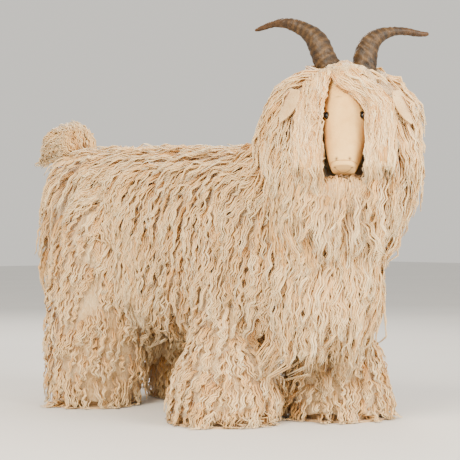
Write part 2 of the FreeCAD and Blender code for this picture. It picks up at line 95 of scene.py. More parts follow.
def grained(name, pale, dark, stretch, lines, rough):
    """Wood: noise stretched along the grain for its lines, and finer noise for its pores."""
    made = new_material(name, Roughness=rough, IOR=1.5)
    place = node(made, "TexCoord").outputs["Object"]
    long = node(made, "Mapping", {"Vector": place}, Scale=stretch).outputs["Vector"]
    line = node(made, "TexNoise", {"Vector": long}, Scale=lines, Detail=6.0, Distortion=0.6)
    pore = node(made, "TexNoise", {"Vector": long}, Scale=lines * pores_to_a_line, Detail=3.0)
    tone = node(made, "ValToRGB", {"Fac": line.outputs["Fac"]}, stops=[(0.3, dark), (0.7, pale)])
    feed(made, "Base Color", tone.outputs["Color"])
    bump = node(made, "Bump", {"Height": pore.outputs["Fac"]}, Strength=0.25, Distance=0.0005)
    feed(made, "Normal", bump.outputs["Normal"])
    return made


def coat(names, material):
    """Gives carried-over CAD nodes their finish."""
    for name in names:
        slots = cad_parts[name].data.materials
        slots.clear()
        slots.append(material)


pores_to_a_line = 7
# Pine shows long tan lines 14 mm apart that run up the posts, on a dull planed surface.
pine = grained("planed pine", "#D9B483", "#B98A55", (60, 60, 6), 1.2, 0.6)
# Plywood is paler, and shows the edges of its 1.6 mm veneers one above the other.
birch_ply = grained("birch plywood", "#D8BC92", "#A98458", (20, 20, 300), 2.0, 0.62)
coat([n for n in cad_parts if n.endswith(("_leg_post", "_yoke", "_side_rail", "_horn_plug"))]
     + ["spine_beam", "neck_post", "head_block"], pine)
coat([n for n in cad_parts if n.endswith("_foot_disc")] + ["neck_gusset", "head_plate"],
     birch_ply)

# ---------------------------------------------------------------------------------------
# Fasteners: bright zinc-plated bolts and wood screws in the frame, and small brass-plated
# tacks that hold the sole leather.


def metalled(name, pale, dark, rough):
    """Plated metal with dull clouds a few millimetres across."""
    made = new_material(name, Metallic=1.0, Roughness=rough)
    place = node(made, "TexCoord").outputs["Object"]
    cloud = node(made, "TexNoise", {"Vector": place}, Scale=1000 / 2.86, Detail=4.0)
    tone = node(made, "ValToRGB", {"Fac": cloud.outputs["Fac"]},
                stops=[(0.35, dark), (0.65, pale)])
    feed(made, "Base Color", tone.outputs["Color"])
    bump = node(made, "Bump", {"Height": cloud.outputs["Fac"]}, Strength=0.15, Distance=0.0002)
    feed(made, "Normal", bump.outputs["Normal"])
    return made


# Zinc gives a cool grey with a soft gleam; the brass is yellow and a little tarnished.
zinc = metalled("zinc-plated steel", "#C9CCD0", "#9A9DA1", 0.35)
brass = metalled("tarnished brass", "#C9A35A", "#8A6A34", 0.4)
coat(["coach_bolts", "coach_nuts", "frame_screws", "foot_screws", "head_screws", "horn_screws"],
     zinc)
coat(["sole_tacks"], brass)

# ---------------------------------------------------------------------------------------
# Soles: thick vegetable-tanned leather, tacked under each foot and sewn to the pelt's hem.


def tanned(name, pale, dark, pore_mm, rough, nap=0.25):
    """Leather or suede: clouds 36 mm across, and a pebbled surface of the given pore size."""
    made = new_material(name, Roughness=rough, IOR=1.45, Specular_IOR_Level=0.35,
                        Sheen_Weight=nap, Sheen_Roughness=0.5)
    place = node(made, "TexCoord").outputs["Object"]
    cloud = node(made, "TexNoise", {"Vector": place}, Scale=1000 / 35.7, Detail=5.0, Roughness=0.6)
    pebble = node(made, "TexVoronoi", {"Vector": place}, Scale=1000 / pore_mm)
    fine = node(made, "TexNoise", {"Vector": place}, Scale=1600 / pore_mm, Detail=3.0)
    tone = node(made, "Mix", {"A": cloud.outputs["Fac"], "B": fine.outputs["Fac"]},
                {"data_type": "FLOAT"}, Factor=0.3)
    toned = node(made, "ValToRGB", {"Fac": tone.outputs["Result"]},
                 stops=[(0.34, dark), (0.66, pale)])
    feed(made, "Base Color", toned.outputs["Color"])
    both = node(made, "Math", {0: pebble.outputs["Distance"], 1: fine.outputs["Fac"]},
                {"operation": "ADD"})
    bump = node(made, "Bump", {"Height": both.outputs["Value"]}, Strength=0.35, Distance=0.0004)
    feed(made, "Normal", bump.outputs["Normal"])
    return made


# Veg-tanned leather is a dull biscuit brown with pores 1.6 mm apart.
sole_leather = tanned("vegetable-tanned sole leather", "#D9BC91", "#B18C60", 1.6, 0.7)
feet = ["front_right", "front_left", "rear_right", "rear_left"]
coat([foot + "_sole" for foot in feet], sole_leather)

# ---------------------------------------------------------------------------------------
# Stuffing: wads of carded wool packed round the frame under cotton sheeting. Each wad is
# the CAD wad's form, softened and lumpy.


def welded(names):
    """The CAD nodes' triangles, joined at their shared corners, in one bmesh."""
    bm = bmesh.new()
    for name in names:
        bm.from_mesh(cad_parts[name].data)
    bmesh.ops.remove_doubles(bm, verts=bm.verts, dist=0.00002)
    bmesh.ops.recalc_face_normals(bm, faces=bm.faces)
    return bm


def piece(name, bm, material):
    """A smooth-shaded object made from a bmesh, which is freed."""
    mesh = bpy.data.meshes.new(name)
    bm.to_mesh(mesh)
    bm.free()
    mesh.materials.append(material)
    made = bpy.data.objects.new(name, mesh)
    bpy.context.scene.collection.objects.link(made)
    for face in mesh.polygons:
        face.use_smooth = True
    return made


def settled(made):
    """The object with its modifiers worked into its mesh."""
    graph = bpy.context.evaluated_depsgraph_get()
    mesh = bpy.data.meshes.new_from_object(made.evaluated_get(graph))
    made.modifiers.clear()
    old = made.data
    made.data = mesh
    bpy.data.meshes.remove(old)
    for face in mesh.polygons:
        face.use_smooth = True
    return made


def remeshed(made, size, rounds):
    """The piece as one closed skin of even faces this size, softened in so many rounds."""
    skin = made.modifiers.new("skin", "REMESH")
    skin.mode = "VOXEL"
    skin.voxel_size = size
    soft = made.modifiers.new("soft", "SMOOTH")
    soft.factor = 0.5
    soft.iterations = rounds
    return settled(made)


def coords(mesh):
    """Where the mesh's corners are, one row each, in metres."""
    flat = np.empty(len(mesh.vertices) * 3)
    mesh.vertices.foreach_get("co", flat)
    return flat.reshape(-1, 3)


def normals(mesh):
    """The way out at each corner, one row each."""
    flat = np.empty(len(mesh.vertices) * 3)
    mesh.vertex_normals.foreach_get("vector", flat)
    return flat.reshape(-1, 3)


def lumps(spots, size, seed):
    """Smooth noise from -1 to 1 with lumps of about this size, from a few crossed waves."""
    rng = np.random.default_rng(seed)
    total = np.zeros(len(spots))
    for _ in range(7):
        way = rng.normal(size=3)
        way /= np.linalg.norm(way)
        total += np.sin(spots @ way * (2 * math.pi / size) * rng.uniform(0.6, 1.5)
                        + rng.uniform(0, 7))
    return total / 3.5


# Unbleached sheeting is a dull greyish cream with a plain weave.
cotton = new_material("unbleached cotton sheeting", Roughness=0.9, Sheen_Weight=0.3)
place = node(cotton, "TexCoord").outputs["Object"]
# A wave of this scale is a thread every 4 mm: coarser than real sheeting, so that it shows.
warp = node(cotton, "TexWave", {"Vector": place}, {"bands_direction": "X"}, Scale=80.0)
weft = node(cotton, "TexWave", {"Vector": place}, {"bands_direction": "Z"}, Scale=80.0)
weave = node(cotton, "Math", {0: warp.outputs["Fac"], 1: weft.outputs["Fac"]},
             {"operation": "MULTIPLY"})
stain = node(cotton, "TexNoise", {"Vector": place}, Scale=1000 / 111, Detail=4.0)
stained = node(cotton, "ValToRGB", {"Fac": stain.outputs["Fac"]},
               stops=[(0.35, "#CDBD9D"), (0.65, "#E4D9C0")])
feed(cotton, "Base Color", stained.outputs["Color"])
feed(cotton, "Normal", node(cotton, "Bump", {"Height": weave.outputs["Value"]}, Strength=0.3,
                            Distance=0.0004).outputs["Normal"])

wad_slack = 0.0015          # how far the wad lies inside the CAD wad, and how lumpy it is
wads = [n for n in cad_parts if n.endswith("_padding")] + ["tail_wad"]
for name in wads:
    body = "tail" if name == "tail_wad" else "body"
    wad = remeshed(piece(name.replace("_padding", "") + "_stuffing", welded([name]), cotton),
                   0.008 if name == "tail_wad" else 0.016, 2)
    spots = coords(wad.data)
    spots -= normals(wad.data) * (wad_slack + wad_slack * lumps(spots, 0.05, 3))[:, None]
    wad.data.vertices.foreach_set("co", spots.ravel())
    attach(wad, body)
    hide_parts(name)

# ---------------------------------------------------------------------------------------
# Pelts: long-wool hide on the flesh side, sewn together edge to edge over the stuffing.
# The hide and its dense underwool are one close felted layer; the long locks grow from it.

head = Vector((0.016, -0.4668, 0.0))
turn = math.radians(47)
ahead = Vector((-math.sin(turn), -math.cos(turn), 0))
goat_left = Vector((-ahead.y, ahead.x, 0))


def head_spot(left, forward, height):
    """A place given in millimetres in the head's own directions."""
    return head + (goat_left * left + ahead * forward + Vector((0, 0, height))) / 1000


# Underwool is matted and matt. It is cream where its curls stand up and tan down in its creases,
# which is painted shade, and it is darker than the locks overall, as painted shade under them.
underwool = new_material("felted underwool", Roughness=0.8, Specular_IOR_Level=0.25,
                         Sheen_Weight=0.6, Sheen_Roughness=0.4)
place = node(underwool, "TexCoord").outputs["Object"]
# Felted fibres run down the coat, so the curls are drawn three times as long as wide.
hang = node(underwool, "Mapping", {"Vector": place}, Scale=(1.0, 1.0, 0.35)).outputs["Vector"]
curl = node(underwool, "TexNoise", {"Vector": hang}, Scale=1000 / 8.33, Detail=6.0,
            Roughness=0.7, Distortion=1.8)
patch = node(underwool, "TexNoise", {"Vector": place}, Scale=1000 / 91, Detail=3.0)
tone = node(underwool, "Mix", {"A": curl.outputs["Fac"], "B": patch.outputs["Fac"]},
            {"data_type": "FLOAT"}, Factor=0.35)
# Painted shade: the curls' low places, which the bump below sinks, take the tan end of this ramp.
felted = node(underwool, "ValToRGB", {"Fac": tone.outputs["Result"]},
              stops=[(0.36, "#B58A55"), (0.5, "#DFBC88"), (0.64, "#F2D9AE")])
feed(underwool, "Base Color", felted.outputs["Color"])
feed(underwool, "Normal", node(underwool, "Bump", {"Height": curl.outputs["Fac"]},
                               Strength=1.0, Distance=0.006).outputs["Normal"])


def outer_skin(made):
    """Keeps only the skin reached from the highest corner, so no inner hollow is left."""
    bm = bmesh.new()
    bm.from_mesh(made.data)
    start = max(bm.verts, key=lambda v: v.co.z)
    seen, queue = {start}, [start]
    while queue:
        for edge in queue.pop().link_edges:
            for corner in edge.verts:
                if corner not in seen:
                    seen.add(corner)
                    queue.append(corner)
    bmesh.ops.delete(bm, geom=[v for v in bm.verts if v not in seen], context="VERTS")
    bm.to_mesh(made.data)
    bm.free()


def sunk(made, depth, uneven, size, seed):
    """Moves the skin in along its normals, by more in some places than others."""
    moved = coords(made.data)
    moved -= normals(made.data) * (depth + uneven * lumps(moved, size, seed))[:, None]
    made.data.vertices.foreach_set("co", moved.ravel())
    made.data.update()


def skin_of(bm):
    """A search tree of the skin, and its faces as roots for wool: middle, way out and area."""
    return BVHTree.FromBMesh(bm), [
        (f.calc_center_median(), f.normal.copy(), f.calc_area()) for f in bm.faces]


hide_depth = 0.012          # the felted layer's top lies this far under the wool's outer face
hide_thick = 0.006
hide_face = 0.009           # the size of the hide's faces
near_pelt, any_pelt = 0.02, 1.0     # how far to look for the pelt that a face belongs to
pelts = [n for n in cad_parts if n.endswith("_pelt") and n != "tail_pelt"]
form = remeshed(piece("goat_form", welded(pelts + [w for w in wads if w != "tail_wad"]),
                      underwool), hide_face, 3)
outer_skin(form)
sunk(form, hide_depth, 0.003, 0.05, 5)
trees = {}
for name in pelts:
    bm = welded([name])
    trees[name] = BVHTree.FromBMesh(bm)
    bm.free()
owners = []
for face in form.data.polygons:
    for limit in (near_pelt, any_pelt):
        gaps = {name: tree.find_nearest(face.center, limit)[3] for name, tree in trees.items()}
        gaps = {name: gap for name, gap in gaps.items() if gap is not None}
        if gaps:
            break
    owners.append(min(gaps, key=gaps.get))

skins = {}
for name in pelts:
    bm = bmesh.new()
    bm.from_mesh(form.data)
    bm.faces.ensure_lookup_table()
    others = [f for f, owner in zip(bm.faces, owners) if owner != name]
    bmesh.ops.delete(bm, geom=others, context="FACES")
    skins[name] = skin_of(bm)[1]
    fleece = piece(name.replace("_pelt", "") + "_underwool", bm, underwool)
    thick = fleece.modifiers.new("hide", "SOLIDIFY")
    thick.thickness = hide_thick
    thick.offset = -1
    settled(fleece)
    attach(fleece, "body")
    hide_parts(name)
whole_skin = BVHTree.FromPolygons([v.co for v in form.data.vertices],
                                  [p.vertices[:] for p in form.data.polygons])
bpy.data.objects.remove(form)

# ---------------------------------------------------------------------------------------
# Locks: the long outer wool, in wavy locks of a few strands each. It is combed back over
# the back, falls down the flanks, and parts over the forehead to hang beside the face.

# Lustre wool is creamy white with a silky gleam along each strand, and tan at its roots.
wool = new_material("long lustre wool", Roughness=0.38, IOR=1.5, Specular_IOR_Level=0.45,
                    Sheen_Weight=0.4, Sheen_Roughness=0.35)
strand_map = node(wool, "UVMap", settings={"uv_map": "strand"}).outputs["UV"]
split = node(wool, "SeparateXYZ", {"Vector": strand_map})
along = node(wool, "ValToRGB", {"Fac": split.outputs["Y"]}, stops=[
    (0.0, "#D2AA72"), (0.2, "#ECCB98"), (0.55, "#FBE2B6"), (1.0, "#FFF0CE")])
shade = node(wool, "ValToRGB", {"Fac": split.outputs["X"]}, stops=[
    (0.0, "#E8C998"), (0.3, "#F8E6C6"), (0.75, "#FFFBF2"), (1.0, "#FFFFFF")])
# Each strand stands for a few dozen hairs, so it carries lengthwise streaks 1 mm apart.
fibre_map = node(wool, "UVMap", settings={"uv_map": "fibre"}).outputs["UV"]
stretched = node(wool, "Mapping", {"Vector": fibre_map}, Scale=(9.0, 1.2, 1.0))
fibre = node(wool, "TexNoise", {"Vector": stretched.outputs["Vector"]}, Scale=1.0, Detail=2.0)
streak = node(wool, "ValToRGB", {"Fac": fibre.outputs["Fac"]},
              stops=[(0.3, "#EFDAB6"), (0.6, "#FFFFFF")])
multiply = {"data_type": "RGBA", "blend_type": "MULTIPLY"}
colour_out = 2              # a Mix node's colour result is its third output
toned = node(wool, "Mix", {"A": along.outputs["Color"], "B": shade.outputs["Color"]}, multiply,
             Factor=1.0)
streaked = node(wool, "Mix", {"A": toned.outputs[colour_out], "B": streak.outputs["Color"]},
                multiply, Factor=1.0)
feed(wool, "Base Color", streaked.outputs[colour_out])
feed(wool, "Normal", node(wool, "Bump", {"Height": fibre.outputs["Fac"]}, Strength=0.5,
                          Distance=0.0008).outputs["Normal"])

# One strand: a three-sided taper of rings, closed at both ends.
strand_rings = 9
bm = bmesh.new()
bmesh.ops.create_cone(bm, segments=3, radius1=1.0, radius2=1.0, depth=1.0, cap_ends=True)
for k in range(1, strand_rings - 1):
    height = k / (strand_rings - 1) - 0.5
    bmesh.ops.bisect_plane(bm, geom=bm.verts[:] + bm.edges[:] + bm.faces[:],
                           plane_co=(0, 0, height), plane_no=(0, 0, 1))
bmesh.ops.triangulate(bm, faces=bm.faces)
bm.verts.ensure_lookup_table()
strand_spots = np.array([v.co[:] for v in bm.verts])
strand_faces = np.array([[v.index for v in f.verts] for f in bm.faces])
bm.free()
ring_of = np.rint((strand_spots[:, 2] + 0.5) * (strand_rings - 1)).astype(int)
ring_angle = np.arctan2(strand_spots[:, 1], strand_spots[:, 0])
flatness = 0.55             # a strand is this much thinner than it is wide
strand_thick = 0.00205      # its half width at the thickest; the whole range is 3 to 5 mm
floor_gap = 0.003           # no strand lies lower than this

down = Vector((0, 0, -1))
foot_middles = {}
for foot in feet:
    low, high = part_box(foot + "_foot_disc")
    foot_middles[foot + "_leg_pelt"] = (low + high) / 2
tail_low, tail_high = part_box("tail_pelt")
crown_foot, crown_depth = 0.66, 0.07    # the wool is combed aside from this height upwards
parting, nape_parting = -0.028, -0.005  # how far to the goat's left the wool parts
hoof_flare = 0.12           # the legs' wool spreads out below this height


def comb(name, spot, out):
    """The way the wool is combed at a spot on this pelt, before it follows the surface."""
    if name in ("hood_pelt", "neck_pelt"):
        local = spot - head
        left, forward = local.dot(goat_left), local.dot(ahead)
        crown = min(max((spot.z - crown_foot) / crown_depth, 0), 1)
        side = 1 if left > (parting if forward > 0.02 else nape_parting) else -1
        way = down + goat_left * (side * crown * 1.2) - ahead * (0.35 * crown)
        if forward < 0.02 and crown > 0:
            way += Vector((local.x, local.y, 0)).normalized() * (crown * 1.1)
        return way
    if name in foot_middles:
        aside = spot - foot_middles[name]
        aside.z = 0
        low = min(max((hoof_flare - spot.z) / hoof_flare, 0), 1)
        return down + aside.normalized() * (0.08 + 0.35 * low)
    if name == "ear":
        return down + out * 0.1
    if name == "tail_pelt":
        share = (spot.y - tail_low.y) / (tail_high.y - tail_low.y)
        return Vector((0, 0.45 + share, 1.1 - 2.2 * share))
    top = max(out.z, 0.0)
    side = 1 if spot.x > 0 else -1
    if name == "rump_pelt":
        return down * (1 - 0.7 * top) + Vector((side * 0.45 * top, 0.75 * top + 0.06, 0))
    return down * (1 - 0.75 * top) + Vector((side * 0.55 * top, 0.85 * top + 0.10, 0))


root_depth = 0.003          # each lock starts this far inside the hide
lock_play = 0.006           # and may stand this much above the height it lies at
free_hang = 0.05            # further from the hide than this, a lock hangs free


def march(root, out, name, length, lift, sway, tree):
    """The middle line of one lock: out of the hide, then lying along the comb on the wool."""
    steps = strand_rings - 1
    stride = length / steps
    at = root - out * root_depth
    heading = (out * 0.8 + comb(name, root, out).normalized() * 0.8).normalized()
    line = [at.copy()]
    for k in range(1, steps + 1):
        _, facing, _, far = tree.find_nearest(at)
        pull = comb(name, at, facing).normalized() + sway
        lean = pull.dot(facing)
        if far < free_hang:
            pull -= facing * lean * (1 if lean < 0 else 0.5)
        heading = (heading * 0.45 + pull.normalized() * 0.55).normalized()
        at = at + heading * stride
        near, facing, _, _ = tree.find_nearest(at)
        height = (at - near).dot(facing)
        low = lift * min(1, k / 3)
        if height < low:
            at = at + facing * (low - height)
        elif height > lift + lock_play and facing.z > -0.3:
            at = at - facing * (height - lift - lock_play) * 0.6
        line.append(at.copy())
    return line


# The face is left bare between these edges: height, then how far left the wool's edge is.
bare_heights = [500, 520, 560, 600, 645, 663, 684, 703, 722]
bare_left = [30, 38, 43, 46, 45, 37, 15, -15, -29]
bare_right = [-30, -34, -41, -45, -44.5, -43, -40, -35.5, -31]
ear_swing = 0.088           # from the ear's root to the tip of its wool
ear_half_room = 0.025
ear_sweeps = []
for side, root, tip in (("right", (-98, 104, 692), (-127, 122, 622)),
                        ("left", (101, 82, 690), (131, 92, 620))):
    ear_root, ear_tip = head_spot(*root), head_spot(*tip)
    hang = (ear_tip - ear_root).normalized()
    away = Vector((ear_root.x - head.x, ear_root.y - head.y, 0)).normalized()
    away.z = 0.45
    outward = (away - hang * away.dot(hang)).normalized()
    ear_sweeps.append((side, ear_root, hang, outward, outward.cross(hang)))


def crosses_bare(lines):
    """Which lines pass in front of the bare face, or through an ear's travel."""
    local = lines - np.array(head[:])
    left = local @ np.array(goat_left[:]) * 1000
    forward = local @ np.array(ahead[:]) * 1000
    height = local[..., 2] * 1000
    bad = ((forward > 60) & (height > 500) & (height < 722)
           & (left < np.interp(height, bare_heights, bare_left))
           & (left > np.interp(height, bare_heights, bare_right)))
    for _, ear_root, hang, outward, width in ear_sweeps:
        from_root = lines - np.array(ear_root[:])
        low = from_root @ np.array(hang[:])
        up = from_root @ np.array(outward[:])
        aside = np.abs(from_root @ np.array(width[:]))
        bad |= ((up > -0.004) & (low > -0.004) & (np.hypot(low, up) < ear_swing)
                & (aside < ear_half_room))
    return bad.any(axis=1)


def locks_on(name, patches, count, length, seed, lift=(0.004, 0.014), tree=whole_skin,
             only=None):
    """The middle lines of count locks on these patches, and the way out at each root."""
    rng = np.random.default_rng(seed)
    chosen = [p for p in patches if only is None or only(p[0], p[1])]
    share = np.array([p[2] for p in chosen])
    # Neighbouring patches follow one another, so even steps through them spread the roots.
    places = (np.arange(count) + rng.random(count)) / count
    picks = np.searchsorted(np.cumsum(share / share.sum()), places * 0.999999)
    roots = np.array([chosen[k][0][:] for k in picks])
    outs = np.array([chosen[k][1][:] for k in picks])
    jitter = rng.uniform(-0.5, 0.5, roots.shape) * np.sqrt(share[picks])[:, None]
    roots += jitter - outs * (jitter * outs).sum(1)[:, None]
    # Neighbouring locks lean the same way, as a combed fleece does.
    sway = 0.30 * np.stack([lumps(roots, 0.13, 40 + k) for k in range(3)], 1)
    sway += rng.normal(scale=0.11, size=sway.shape)
    sizes = length * rng.uniform(0.7, 1.25, count)
    lifts = rng.uniform(*lift, count)
    lines = np.array([[p[:] for p in march(Vector(r), Vector(o), name, s, h, Vector(w), tree)]
                      for r, o, s, h, w in zip(roots, outs, sizes, lifts, sway)])
    return lines, outs


def framed(path, out):
    """Unit vectors across and above each line."""
    step = np.gradient(path, axis=1)
    step /= np.maximum(np.linalg.norm(step, axis=2, keepdims=True), 1e-9)
    across = np.cross(step, out[:, None, :])
    across /= np.maximum(np.linalg.norm(across, axis=2, keepdims=True), 1e-9)
    return across, np.cross(across, step)


def crimped(lines, outs, wave, strands, spread, rng):
    """The strands' middle lines: spread over the lock, drawn in to its tip and crimped."""
    many = len(lines) * strands
    path = np.repeat(lines, strands, axis=0)
    out = np.repeat(outs, strands, axis=0)
    share = np.linspace(0, 1, strand_rings)
    across, above = framed(path, out)
    gather = (1 - 0.6 * share)[None, :, None]
    offset = rng.normal(scale=spread, size=(many, 2))
    path = path + across * (offset[:, 0, None, None] * gather)
    path = path + above * (np.abs(offset[:, 1, None, None]) * 0.4 * gather)
    # The crimp's phase drifts slowly over the coat, so that the waves lie side by side.
    run = 3.2 * lumps(lines[:, 0], 0.09, 77) + rng.normal(scale=0.5, size=len(lines))
    run = np.repeat(run, strands) + rng.normal(scale=0.35, size=many)
    reach = np.linalg.norm(np.diff(path, axis=1), axis=2).sum(1)
    pitch = reach / wave[0] * np.repeat(rng.uniform(0.85, 1.2, len(lines)), strands)
    size = np.repeat(rng.uniform(0.6, 1.3, len(lines)), strands) * wave[1]
    angle = run[:, None] + 2 * math.pi * pitch[:, None] * share[None, :]
    swell = (np.minimum(1, share * 3.0) * (0.7 + 0.5 * share))[None, :]
    path = path + across * (np.sin(angle) * size[:, None] * swell)[:, :, None]
    path = path + above * (np.cos(angle) * size[:, None] * swell * 0.4)[:, :, None]
    path[:, :, 2] = np.maximum(path[:, :, 2], floor_gap)
    return path, out


def rounded(path, out, thick, rng):
    """The corners of a flattened tapering strand round each line."""
    share = np.linspace(0, 1, strand_rings)
    across, above = framed(path, out)
    taper = 0.8 + 0.3 * np.sin(share * math.pi) - 0.62 * share ** 3
    radius = thick * rng.uniform(0.7, 1.25, len(path))[:, None] * taper[None, :]
    turned = rng.normal(scale=0.5, size=len(path))[:, None] + ring_angle[None, :]
    wide = across[:, ring_of] * np.cos(turned)[:, :, None]
    deep = above[:, ring_of] * (np.sin(turned) * flatness)[:, :, None]
    return path[:, ring_of, :] + radius[:, ring_of, None] * (wide + deep)


def wool_piece(name, locks, thick, wave, seed, strands=5, spread=0.006, body="body"):
    """A piece of wool: a few strands round each lock's line, in one mesh with its two maps."""
    rng = np.random.default_rng(seed)
    lines, outs = locks
    path, out = crimped(lines, outs, wave, strands, spread, rng)
    spots = rounded(path, out, thick, rng)
    many = len(path)
    faces = strand_faces[None] + (np.arange(many) * len(strand_spots))[:, None, None]
    mesh = bpy.data.meshes.new(name)
    mesh.from_pydata(spots.reshape(-1, 3), [], faces.reshape(-1, 3))
    tone = np.clip(np.repeat(rng.beta(2.2, 1.6, len(lines)), strands)
                   + rng.normal(scale=0.12, size=many), 0.01, 0.99)
    corner = faces.reshape(-1)
    strand, spot = corner // len(strand_spots), corner % len(strand_spots)
    along_strand = ring_of[spot] / (strand_rings - 1)
    # The fibre map starts at another place for each strand, so no two have the same streaks.
    maps = {"strand": (tone[strand], along_strand),
            "fibre": (ring_angle[spot] / (2 * math.pi) + strand % 97,
                      along_strand * 2 + strand % 13)}
    for layer, (u, v) in maps.items():
        flat = np.stack([u, v], 1).astype(np.float32).ravel()
        mesh.uv_layers.new(name=layer).uv.foreach_set("vector", flat)
    mesh.materials.append(wool)
    mesh.polygons.foreach_set("use_smooth", np.ones(len(mesh.polygons), bool))
    made = bpy.data.objects.new(name, mesh)
    bpy.context.scene.collection.objects.link(made)
    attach(made, body)
    return made


def on_ledge(spot, out):
    """Whether this spot is in the opening round the face, where no long wool is rooted."""
    local = spot - head
    return (abs(local.dot(goat_left)) < 0.056 and local.dot(ahead) > 0.05
            and 0.485 < spot.z < 0.715 and out.dot(ahead) < 0.75)


def grow(piece_name, name, count, length, wave, seed, only=None, **how):
    """One piece of wool on a pelt, without the locks that would cross the face or an ear."""
    def rooted(spot, out):
        on_head = name in ("neck_pelt", "hood_pelt")
        return (only is None or only(spot, out)) and not (on_head and on_ledge(spot, out))

    lines, outs = locks_on(name, skins[name], count, length, seed, only=rooted, **how)
    keep = ~crosses_bare(lines)
    wool_piece(piece_name, (lines[keep], outs[keep]), strand_thick, wave, seed)


# Crimp of the wool: length of one wave and half its width.
curly, wavy, long_wave = (0.024, 0.0042), (0.031, 0.0042), (0.042, 0.0042)
middle_y, spine_half = 0.02, 0.05       # where the flanks divide, and the back between them
flank_top, back_foot = 0.75, 0.6        # how far upwards the skin faces at their edges
grow("wool_flank_right_front", "saddle_pelt", 390, 0.08, wavy, 11,
     lambda p, n: p.x < -spine_half and n.z < flank_top and p.y < middle_y)
grow("wool_flank_right_rear", "saddle_pelt", 390, 0.08, wavy, 12,
     lambda p, n: p.x < -spine_half and n.z < flank_top and p.y >= middle_y)
grow("wool_flank_left_front", "saddle_pelt", 390, 0.08, wavy, 13,
     lambda p, n: p.x > spine_half and n.z < flank_top and p.y < middle_y)
grow("wool_flank_left_rear", "saddle_pelt", 390, 0.08, wavy, 14,
     lambda p, n: p.x > spine_half and n.z < flank_top and p.y >= middle_y)
grow("wool_back", "saddle_pelt", 360, 0.085, long_wave, 15, lambda p, n: n.z >= back_foot)
grow("wool_rump", "rump_pelt", 470, 0.09, wavy, 16, lift=(0.005, 0.019))
grow("wool_belly", "belly_pelt", 170, 0.07, wavy, 17)
grow("wool_mane_right", "neck_pelt", 510, 0.105, long_wave, 18,
     lambda p, n: (p - head).dot(goat_left) < 0)
grow("wool_mane_left", "neck_pelt", 510, 0.105, long_wave, 19,
     lambda p, n: (p - head).dot(goat_left) >= 0)
grow("wool_hood", "hood_pelt", 390, 0.105, long_wave, 20)
for k, foot in enumerate(feet):
    grow("wool_leg_" + foot, foot + "_leg_pelt", 430, 0.055, curly, 21 + k)

# ---------------------------------------------------------------------------------------
# Forelocks: long locks from the parting between the horns. Those on the goat's right fall
# straight down beside the face; those on its left sweep across the forehead first.

bm = welded(["face_leather", "nose_pad"])
face_tree = BVHTree.FromBMesh(bm)
bm.free()

# Heights and distances here are in millimetres, in the head's own directions.
chin_height, brow_height, crown_height = 530, 725, 728
face_slope = math.radians(25.5)
far_front = 320             # further forward than any wool
furthest = 172              # the forelocks' tips reach no further forward than this


def face_forward(height):
    """How far forward the leather's front is at this height."""
    return 74 + (733 - height) * math.tan(face_slope)


def wool_forward(left, height, trees, none_hit):
    """How far forward the first thing is that stands at this place across and this height."""
    hits = [t.ray_cast(head_spot(left, far_front, height), -ahead)[3] for t in trees]
    return far_front - 1000 * min([h for h in hits if h] or [none_hit])


def forelocks(side, edge, count, seed):
    """Locks that start along the parting's edge and fall beside the face to one side."""
    rng = np.random.default_rng(seed)
    share = np.linspace(0, 1, strand_rings)
    steps = np.linspace(0, 1, len(edge))
    lines, outs = [], []
    for k in range(count):
        outset = 2 + 52 * rng.random() ** 1.4
        start = 0.62 * rng.random() ** 1.25
        run = start + share * rng.uniform(0.3, 0.38)
        left = np.interp(run, steps, [e[0] for e in edge])
        height = np.interp(run, steps, [e[1] for e in edge])
        fall = np.clip(run * 1.6, 0, 1)
        left = left + side * outset * (0.5 + 0.5 * fall)
        height = height + outset * 0.6 * (1 - fall)
        forward = np.array([
            max(wool_forward(x, z, (whole_skin, face_tree), 0.4),
                face_forward(z) if chin_height < z < brow_height else 0)
            for x, z in zip(left, height)])
        for _ in range(2):
            forward[1:-1] = np.maximum(forward[1:-1], (forward[:-2] + forward[2:]) / 2)
        forward = np.minimum(forward, furthest)
        lift = rng.uniform(3, 10) * np.minimum(1, share * 4)
        line = [head_spot(x, f, z) for x, f, z in zip(left, forward + lift, height)]
        for i, spot in enumerate(line):
            # On the crown the lock lies on the wool's top, not on its front.
            if height[i] > crown_height:
                near, facing, _, _ = whole_skin.find_nearest(spot)
                line[i] = near + facing * (lift[i] / 1000 + 0.002)
        lines.append([spot[:] for spot in line])
        outs.append((ahead + Vector((0, 0, 0.5))).normalized()[:])
    return np.array(lines), np.array(outs)


left_edge = [(-16, 764), (-26, 742), (-28, 724), (-15, 705), (14, 686), (37, 665), (46, 646),
             (48, 620), (48, 590), (46, 560), (44, 530), (42, 500), (42, 465), (44, 430)]
right_edge = [(-22, 764), (-30, 742), (-32, 724), (-37, 700), (-42, 675), (-46, 645), (-47, 615),
              (-46, 585), (-44, 555), (-42, 520), (-41, 485), (-42, 450), (-44, 420)]
wool_piece("wool_forelock_left", forelocks(1, left_edge, 170, 31), 0.0017, long_wave, 31,
           spread=0.004)
wool_piece("wool_forelock_right", forelocks(-1, right_edge, 152, 32), 0.0017, long_wave, 32,
           spread=0.0035)

# Throat locks start on the ledge under the chin, come forward over its rim and hang down.
ledge_height = 495
rng = np.random.default_rng(33)
share = np.linspace(0, 1, strand_rings)
lines = []
for k in range(90):
    left = rng.uniform(-52, 52) * (1 - 0.25 * share) + rng.normal(scale=5) * share
    drop = rng.uniform(70, 120)
    height = rng.uniform(488, 514) + 3 * np.minimum(share * 4, 1)
    height -= drop * np.clip(share - 0.2, 0, 1)
    forward = [wool_forward(x, min(z, ledge_height), (whole_skin,), 0.18)
               for x, z in zip(left, height)]
    forward = np.array(forward) + rng.uniform(3, 10)
    forward[:2] -= np.array([24, 10])
    lines.append([head_spot(x, f, z)[:] for x, f, z in zip(left, forward, height)])
wool_piece("wool_throat", (np.array(lines), np.array([ahead[:]] * len(lines))), 0.0018, long_wave,
           33)

